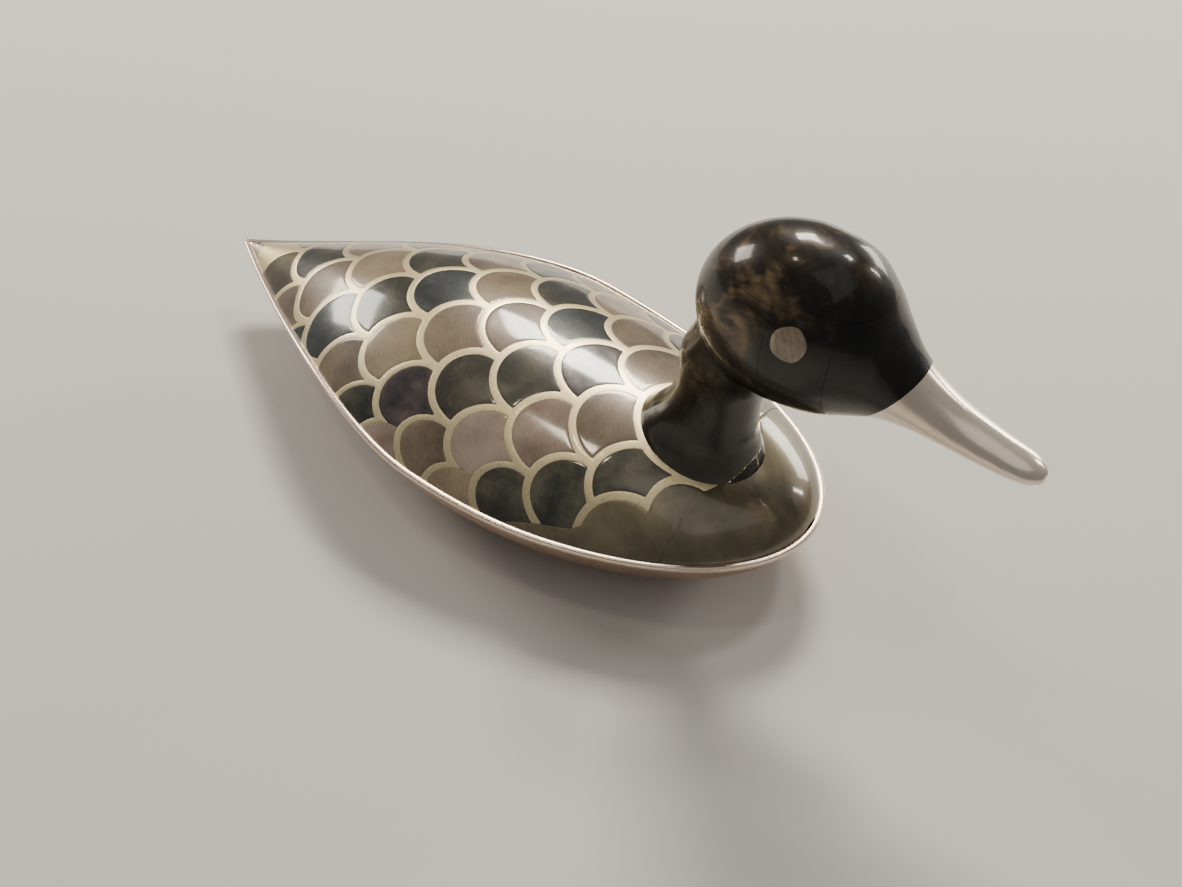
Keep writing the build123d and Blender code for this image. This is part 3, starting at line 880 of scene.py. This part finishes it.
# ------------------------------------------------------------------ hull, rim, tail
@dataclass
class Hull:
    """The brass bowl under the beltline, its rim strip and the tail's point."""

    rim_width: float = 1.3 * MM
    rim_above: float = 0.75 * MM
    rim_below: float = 1.35 * MM
    tail_plug: float = 9.0 * MM
    pit: float = 1.1 * MM

    def build(self, palette: Palette) -> None:
        """Make the hull's pieces."""
        self.build_bowl(palette)
        self.build_rim(palette)
        self.build_tail(palette)
        LOG.info("hull built")

    def build_bowl(self, palette: Palette) -> None:
        """Make the hull shell."""
        bend = (1 - np.cos(np.linspace(0, np.pi, 150))) / 2
        turn = np.linspace(-np.pi / 2, np.pi / 2, 73)
        uu, tt = np.meshgrid(0.004 + 0.9952 * bend, turn, indexing="ij")
        outer = BODY.hull(uu, tt)
        inner = outer.copy()
        inner[..., 1] *= 0.965
        inner[..., 2] = np.minimum(inner[..., 2] + 1.3 * MM, BODY.rim(uu) - 0.1 * MM)
        piece = between_skins("hull_bowl", outer, inner)
        piece.data.materials.append(palette.get(HULL_BRASS))
        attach(piece, "root")
        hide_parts("hull_shell")

    def build_rim(self, palette: Palette) -> None:
        """Sweep the rounded rim strip round the beltline."""
        bend = (1 - np.cos(np.linspace(0, np.pi, 200))) / 2
        side = np.stack([BODY.stern + BODY.length * bend, BODY.beam(bend), BODY.rim(bend)], -1)
        loop = np.vstack([side, (side * (1, -1, 1))[-2:0:-1]])
        ahead = np.roll(loop, -1, 0) - np.roll(loop, 1, 0)
        out = np.stack([ahead[:, 1], -ahead[:, 0], np.zeros(len(loop))], -1)
        out = -out / np.linalg.norm(out, axis=1, keepdims=True)
        angle = np.linspace(0, 2 * np.pi, 17)[:-1]
        square = 0.55
        across = np.sign(np.cos(angle)) * np.abs(np.cos(angle)) ** square
        upward = np.sign(np.sin(angle)) * np.abs(np.sin(angle)) ** square
        mid_out = self.rim_width / 2 - 0.25 * MM
        mid_up = (self.rim_above - self.rim_below) / 2
        half_up = (self.rim_above + self.rim_below) / 2
        rings = (
            loop[:, None, :]
            + out[:, None, :] * (mid_out + across * (self.rim_width / 2 + 0.2 * MM))[None, :, None]
            + np.array([0, 0, 1.0]) * (mid_up + upward * half_up)[None, :, None]
        )
        count, ring = rings.shape[:2]
        faces = [
            (r * ring + c, r * ring + (c + 1) % ring, ((r + 1) % count) * ring + (c + 1) % ring,
             ((r + 1) % count) * ring + c)
            for r in range(count)
            for c in range(ring)
        ]
        piece = make_mesh("rim_strip", rings.reshape(-1, 3), faces, sharp=60)
        face_outwards(piece)
        piece.data.materials.append(palette.get(RIM_BRASS))
        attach(piece, "root")
        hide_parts("rim_band")

    def build_tail(self, palette: Palette) -> None:
        """Make the solid point of the tail, with its pit and rolled lip."""
        u = np.linspace(0.002, self.tail_plug / BODY.length, 40)
        turn = np.linspace(-np.pi / 2, np.pi / 2, 41)
        uu, tt = np.meshgrid(u, turn, indexing="ij")
        top = BODY.deck(uu, tt)
        centre_x = BODY.stern + self.tail_plug - 3.5 * MM
        reach = np.hypot(top[..., 0] - centre_x, top[..., 1]) / self.pit
        top[..., 2] -= 0.9 * MM * np.clip(1 - reach**2, 0, 1) ** 0.5
        lip = np.exp(-((top[..., 0] - BODY.stern - 1.2 * MM) / (1.0 * MM)) ** 2)
        top[..., 2] += 0.25 * MM * lip * np.cos(tt)
        bottom = top.copy()
        bottom[..., 2] = BODY.rim(uu) - 0.3 * MM
        piece = between_skins("tail_tip", top, bottom)
        piece.data.materials.append(palette.get(RIM_BRASS))
        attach(piece, "root")
        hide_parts("tail_point")


# ------------------------------------------------------------------ head, neck, bill
@dataclass
class Head:
    """Head and neck in shell mosaic, the brass bill and the eyes."""

    head_x: float = 198.0
    head_z: float = 65.0
    radii: tuple[float, float, float] = (24.5, 17.5, 21.4)
    face: tuple = (
        (198.0, 65.0, 17.5, 21.4), (208.0, 64.9, 16.3, 20.0), (215.0, 63.4, 13.1, 15.9),
        (220.5, 60.6, 10.1, 11.1), (226.0, 57.6, 8.0, 7.7), (236.0, 53.9, 6.3, 5.2),
        (246.0, 51.7, 5.3, 3.9), (253.0, 50.7, 4.3, 3.0), (256.4, 50.4, 2.0, 1.5),
    )
    neck: tuple = (
        (8.0, 177.0, 19.5, 16.4), (13.0, 177.0, 18.0, 15.0), (17.0, 176.9, 16.7, 13.5),
        (21.0, 177.8, 14.5, 11.9), (26.0, 179.6, 12.5, 10.8), (33.0, 181.0, 11.2, 10.3),
        (40.0, 181.6, 11.2, 10.5), (47.0, 183.0, 12.0, 11.4), (54.0, 186.0, 12.3, 12.2),
        (64.0, 192.0, 15.0, 13.5),
    )
    cap_depth: float = 1.0
    foot_below: float = 30.0
    seam_half: float = 0.035
    nape_angles: tuple = (4, 16, 28, 40, 52, 64, 76)
    bill_root: tuple[float, float] = (222.0, 57.0)
    bill_tilt: float = 35.0
    eye: tuple[float, float] = (202.5, 71.0)
    eye_radius: float = 3.9
    voxel: float = 0.55 * MM
    seams: dict = field(default_factory=lambda: {"neck": 44.0, "head": 197.0, "face": 211.0, "crown": 77.0})

    def place(self, x: Array, y: Array, z: Array) -> Array:
        """Position in the frame from millimetres measured from the tail and the beltline."""
        return np.stack([BODY.stern + x * MM, y * MM, BODY.rim_z + z * MM], -1)

    def stack_of_rings(self, name: str, rings: Array) -> bpy.types.Object:
        """Closed mesh through rings of points."""
        count, around = rings.shape[:2]
        faces = grid_faces(count, around, wrap=True)
        faces += [tuple(range(around)), tuple(range((count - 1) * around, count * around))]
        piece = make_mesh(name, rings.reshape(-1, 3), faces)
        face_outwards(piece)
        return piece

    def blank(self) -> bpy.types.Object:
        """Head, neck and bill as one smooth closed form."""
        angle = np.linspace(0, 2 * np.pi, 73)[:-1]
        rx, ry, rz = self.radii
        stations = []
        for degrees in self.nape_angles:
            turn = math.radians(degrees)
            wide = math.sin(turn)
            stations.append((self.head_x - rx * math.cos(turn), self.head_z, ry * wide, rz * wide))
        stations += self.face
        path = through(stations, 200)
        rings = self.place(
            path[:, :1] + 0 * angle, path[:, 2:3] * np.cos(angle), path[:, 1:2] + path[:, 3:4] * np.sin(angle)
        )
        head = self.stack_of_rings("head_blank", rings)
        path = through(self.neck, 110)
        rings = self.place(
            path[:, 1:2] + path[:, 2:3] * np.cos(angle), path[:, 3:4] * np.sin(angle), path[:, :1] + 0 * angle
        )
        neck = self.stack_of_rings("neck_blank", rings)
        work = bmesh.new()
        work.from_mesh(head.data)
        work.from_mesh(neck.data)
        work.to_mesh(head.data)
        work.free()
        bpy.data.objects.remove(neck)
        remesh = head.modifiers.new("skin", "REMESH")
        remesh.mode = "VOXEL"
        remesh.voxel_size = self.voxel
        remesh.use_smooth_shade = True
        smooth = head.modifiers.new("blend", "SMOOTH")
        smooth.factor = 0.5
        smooth.iterations = 10
        apply_modifiers(head)
        self.seat(head)
        return head

    def seat(self, piece: bpy.types.Object) -> None:
        """Trim the foot of the neck to just under the back's surface."""
        work = bmesh.new()
        work.from_mesh(piece.data)
        points = np.array([tuple(v.co) for v in work.verts])
        u = np.clip((points[:, 0] - BODY.stern) / BODY.length, 0, 0.999)
        turn = np.arcsin(np.clip(points[:, 1] / BODY.beam(u), -1, 1))
        level = BODY.deck(u, turn)[:, 2] - self.cap_depth * MM
        low = (points[:, 2] < level) & (points[:, 2] < BODY.rim_z + self.foot_below * MM)
        buried = [f for f in work.faces if all(low[v.index] for v in f.verts)]
        for vertex in work.verts:
            if low[vertex.index]:
                vertex.co.z = level[vertex.index]
        bmesh.ops.delete(work, geom=buried, context="FACES")
        work.to_mesh(piece.data)
        work.free()

    def cut(self, source: bpy.types.Object, name: str, planes: list[tuple[Point, Point]]) -> bpy.types.Object:
        """Copy of the blank, kept on the far side of each plane's normal.

        Args:
            source: the blank.
            name: the copy's name.
            planes: a point and a normal for each cut; what the normal points to is removed.

        Returns:
            The open skin that is left.
        """
        work = bmesh.new()
        work.from_mesh(source.data)
        for point, normal in planes:
            bmesh.ops.bisect_plane(
                work, geom=work.verts[:] + work.edges[:] + work.faces[:], plane_co=point, plane_no=normal,
                clear_outer=True,
            )
        mesh = bpy.data.meshes.new(name)
        work.to_mesh(mesh)
        work.free()
        mesh.shade_smooth()
        piece = bpy.data.objects.new(name, mesh)
        bpy.context.scene.collection.objects.link(piece)
        return piece

    def thicken(self, piece: bpy.types.Object, thickness: float) -> None:
        """Turn an open skin into a closed slab."""
        solid = piece.modifiers.new("slab", "SOLIDIFY")
        solid.thickness = thickness
        solid.offset = -1
        apply_modifiers(piece)
        piece.data.shade_smooth()
        piece.data.set_sharp_from_angle(angle=math.radians(50))

    def build(self, palette: Palette) -> None:
        """Make the head's pieces."""
        blank = self.blank()
        tilt = math.radians(self.bill_tilt)
        root = tuple(self.place(np.float64(self.bill_root[0]), np.float64(0), np.float64(self.bill_root[1])))
        ahead = (math.cos(tilt), 0.0, -math.sin(tilt))
        back = tuple(-c for c in ahead)
        gap = self.seam_half

        def at_x(x: float) -> Point:
            """Point at a distance from the tail, in millimetres."""
            return (BODY.stern + x * MM, 0.0, 0.0)

        def at_z(z: float) -> Point:
            """Point at a height above the beltline, in millimetres."""
            return (0.0, 0.0, BODY.rim_z + z * MM)

        seam = self.seams
        below_head = [(at_z(seam["neck"] + gap), (0, 0, -1)), (at_z(seam["crown"] - gap), (0, 0, 1))]
        cuts = {
            "neck_inlay": [(at_z(seam["neck"] - gap), (0, 0, 1))],
            "nape_inlay": below_head + [(at_x(seam["head"] - gap), (1, 0, 0))],
            "cheek_inlay": below_head + [
                (at_x(seam["head"] + gap), (-1, 0, 0)), (at_x(seam["face"] - gap), (1, 0, 0)),
            ],
            "face_inlay": below_head + [(at_x(seam["face"] + gap), (-1, 0, 0)), (root, ahead)],
        }
        for name, planes in cuts.items():
            for side, hand in ((1, "left"), (-1, "right")):
                middle = ((0.0, side * gap * MM, 0.0), (0, -side, 0))
                piece = self.cut(blank, f"{name}_{hand}_slab", planes + [middle])
                self.finish(piece, palette, HEAD_SHELL, "pen_shell", f"{name}_{hand}", 1.2 * MM)
        crown = self.cut(blank, "crown_slab", [(at_z(seam["crown"] + gap), (0, 0, -1))])
        self.finish(crown, palette, HEAD_SHELL, "pen_shell", "crown_inlay", 1.2 * MM)
        bill = self.cut(blank, "bill_casting", [(root, back)])
        self.shape_bill(bill)
        self.finish(bill, palette, BILL_BRASS, "brass", "bill", 0.8 * MM)
        bpy.data.objects.remove(blank)
        self.build_eyes(palette)
        LOG.info("head built")

    def shape_bill(self, piece: bpy.types.Object) -> None:
        """Give the bill its culmen ridge, flat underside and nail."""
        for vertex in piece.data.vertices:
            x = (vertex.co.x - BODY.stern) / MM
            along = min(max((x - 224.0) / 12.0, 0.0), 1.0)
            ridge = math.exp(-((vertex.co.y / MM) / 1.6) ** 2)
            spine = np.interp(x, [s[0] for s in self.face], [s[1] for s in self.face])
            above = vertex.co.z > BODY.rim_z + spine * MM
            if above:
                vertex.co.z += 0.25 * MM * ridge * along * (1 - min(max((x - 246) / 8, 0), 1))
            else:
                low = (BODY.rim_z + spine * MM) - vertex.co.z
                vertex.co.z += 0.22 * low * along

    def finish(
        self, piece: bpy.types.Object, palette: Palette, finish, slot: str, node: str, thickness: float
    ) -> None:
        """Close a piece, dress it and put it in its node's place."""
        self.thicken(piece, thickness)
        piece.data.materials.clear()
        piece.data.materials.append(palette.get(finish))
        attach(piece, "root")
        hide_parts(node)

    def build_eyes(self, palette: Palette) -> None:
        """Make the two eye discs, curved to the head."""
        rx, ry, rz = self.radii
        rings = 10
        around = 40
        proud = 0.28

        def cheek(x: Array, z: Array) -> Array:
            """Half width of the head at a place on its side."""
            near = 1 - ((x - self.head_x) / rx) ** 2 - ((z - self.head_z) / rz) ** 2
            return ry * np.sqrt(np.clip(near, 0.01, 1))

        for side, hand in ((1, "left"), (-1, "right")):
            radius = np.linspace(0, 1, rings)[1:, None]
            angle = np.linspace(0, 2 * np.pi, around + 1)[:-1]
            wobble = 1 + 0.02 * np.sin(5 * angle + 1)
            x = self.eye[0] + self.eye_radius * radius * np.cos(angle) * wobble
            z = self.eye[1] + self.eye_radius * radius * np.sin(angle) * wobble
            y = cheek(x, z)
            lift = proud - 0.25 * np.clip((radius - 0.8) / 0.2, 0, 1) ** 2 + 0 * angle
            top = self.place(x, side * (y + lift), z).reshape(-1, 3)
            eye_x, eye_z = np.array([self.eye[0]]), np.array([self.eye[1]])
            middle = self.place(eye_x, side * (cheek(eye_x, eye_z) + proud), eye_z)
            low = self.place(x[-1], side * (y[-1] - 1.0), z[-1])
            points = np.vstack([top, middle, low])
            hub = len(top)
            faces = grid_faces(rings - 1, around, wrap=True)
            faces += [(hub, (c + 1) % around, c) for c in range(around)]
            last = (rings - 2) * around
            for c in range(around):
                after = (c + 1) % around
                faces.append((last + c, last + after, hub + 1 + after, hub + 1 + c))
            faces.append(tuple(hub + 1 + c for c in range(around)))
            piece = make_mesh(f"eye_disc_{hand}", points, faces)
            face_outwards(piece)
            piece.data.materials.append(palette.get(EYE_SHELL))
            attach(piece, "root")
            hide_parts(f"eye_{hand}")


# ------------------------------------------------------------------ carried-over nodes
@dataclass
class HiddenParts:
    """CAD nodes that stay as they are and get their finish."""

    brass: tuple = ("back_shell", "head_shell_left", "head_shell_right", "neck_plug", "neck_socket")
    steel: tuple = ("neck_stud", "neck_nut", "neck_washer")

    def dress(self, palette: Palette) -> None:
        """Give each node its finish."""
        for names, finish in ((self.brass, HULL_BRASS), (self.steel, ZINC_STEEL), (("base_pad",), FELT)):
            for name in names:
                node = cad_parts[name]
                node.data.materials.clear()
                node.data.materials.append(palette.get(finish))
        LOG.info("carried-over nodes dressed")


# ------------------------------------------------------------------ studio
@dataclass
class Studio:
    """Pale floor, soft lights and the camera."""

    camera_at: Point = (127.85 * MM, -161.42 * MM, 231.24 * MM)
    camera_back: Point = (0.3838, -0.5481, 0.7431)
    sensor: float = 36.0
    focal: float = 36.0 * 1000.0 / 1182.0
    aim: Point = (0.0, 0.0, 40.0 * MM)
    floor_half: float = 3.0

    def build(self) -> None:
        """Set the stage."""
        self.floor()
        self.world()
        self.lights()
        self.camera()

    def floor(self) -> None:
        """Plain pale floor."""
        size = self.floor_half
        points = np.array([(-size, -size, 0), (size, -size, 0), (size, size, 0), (-size, size, 0)], float)
        piece = make_mesh("floor", points, [(0, 1, 2, 3)])
        material, graph, shader = start_material("floor_paper")
        noise = graph.node("ShaderNodeTexNoise", {"Scale": 3.0, "Detail": 2.0})
        colour = graph.mix(noise.outputs["Fac"], (0.60, 0.575, 0.535, 1), (0.64, 0.615, 0.575, 1))
        graph.feed(shader, {"Base Color": colour, "Roughness": 0.8})
        piece.data.materials.append(material)

    def world(self) -> None:
        """Dim even surround."""
        world = bpy.data.worlds.new("surround")
        bpy.context.scene.world = world
        world.use_nodes = True
        shader = world.node_tree.nodes["Background"]
        shader.inputs["Color"].default_value = (0.86, 0.88, 0.92, 1)
        shader.inputs["Strength"].default_value = 0.20

    def lights(self) -> None:
        """Soft window-like panels."""
        panels = (
            ("window_high", (-0.36, 0.76, 1.00), 0.36, 0.30, 17.0, (1.0, 0.94, 0.82)),
            ("window_head", (0.20, 0.72, 1.15), 0.18, 0.12, 3.5, (1.0, 0.96, 0.90)),
            ("window_low", (0.32, 1.30, 0.26), 0.60, 0.36, 7.0, (1.0, 0.95, 0.84)),
            ("window_left", (-1.15, 0.05, 0.65), 0.45, 0.35, 8.0, (1.0, 0.95, 0.86)),
            ("slit_right", (0.76, 0.98, 0.56), 0.06, 0.28, 1.6, (1.0, 0.97, 0.92)),
            ("lamp_top", (-0.27, -0.14, 1.25), 0.10, 0.08, 0.9, (1.0, 0.90, 0.66)),
            ("ceiling", (0.45, -0.20, 1.20), 0.90, 0.90, 1.2, (1.0, 0.97, 0.93)),
        )
        for name, place, width, height, power, colour in panels:
            data = bpy.data.lights.new(name, "AREA")
            data.shape = "RECTANGLE"
            data.size, data.size_y = width, height
            data.energy = power
            data.color = colour
            lamp = bpy.data.objects.new(name, data)
            lamp.location = place
            lamp.rotation_euler = (Vector(place) - Vector(self.aim)).to_track_quat("Z", "Y").to_euler()
            bpy.context.scene.collection.objects.link(lamp)

    def camera(self) -> None:
        """Camera at the photograph's angle."""
        data = bpy.data.cameras.new("camera")
        data.sensor_width = self.sensor
        data.lens = self.focal
        data.clip_start = 0.01
        camera = bpy.data.objects.new("camera", data)
        camera.location = self.camera_at
        camera.rotation_euler = Vector(self.camera_back).to_track_quat("Z", "Y").to_euler()
        bpy.context.scene.collection.objects.link(camera)
        bpy.context.scene.camera = camera


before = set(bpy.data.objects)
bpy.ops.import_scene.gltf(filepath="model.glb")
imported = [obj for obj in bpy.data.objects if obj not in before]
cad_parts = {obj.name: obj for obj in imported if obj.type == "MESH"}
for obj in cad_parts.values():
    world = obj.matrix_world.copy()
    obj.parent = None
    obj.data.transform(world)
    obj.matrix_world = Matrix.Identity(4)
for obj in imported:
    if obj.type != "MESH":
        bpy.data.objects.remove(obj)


def main() -> None:
    """Build the duck around the frame, then the studio."""
    logging.basicConfig(level=logging.INFO)
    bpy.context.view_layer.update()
    palette = Palette()
    FeatherBack().build(palette)
    Hull().build(palette)
    Head().build(palette)
    HiddenParts().dress(palette)
    Studio().build()


if __name__ == "__main__":
    main()
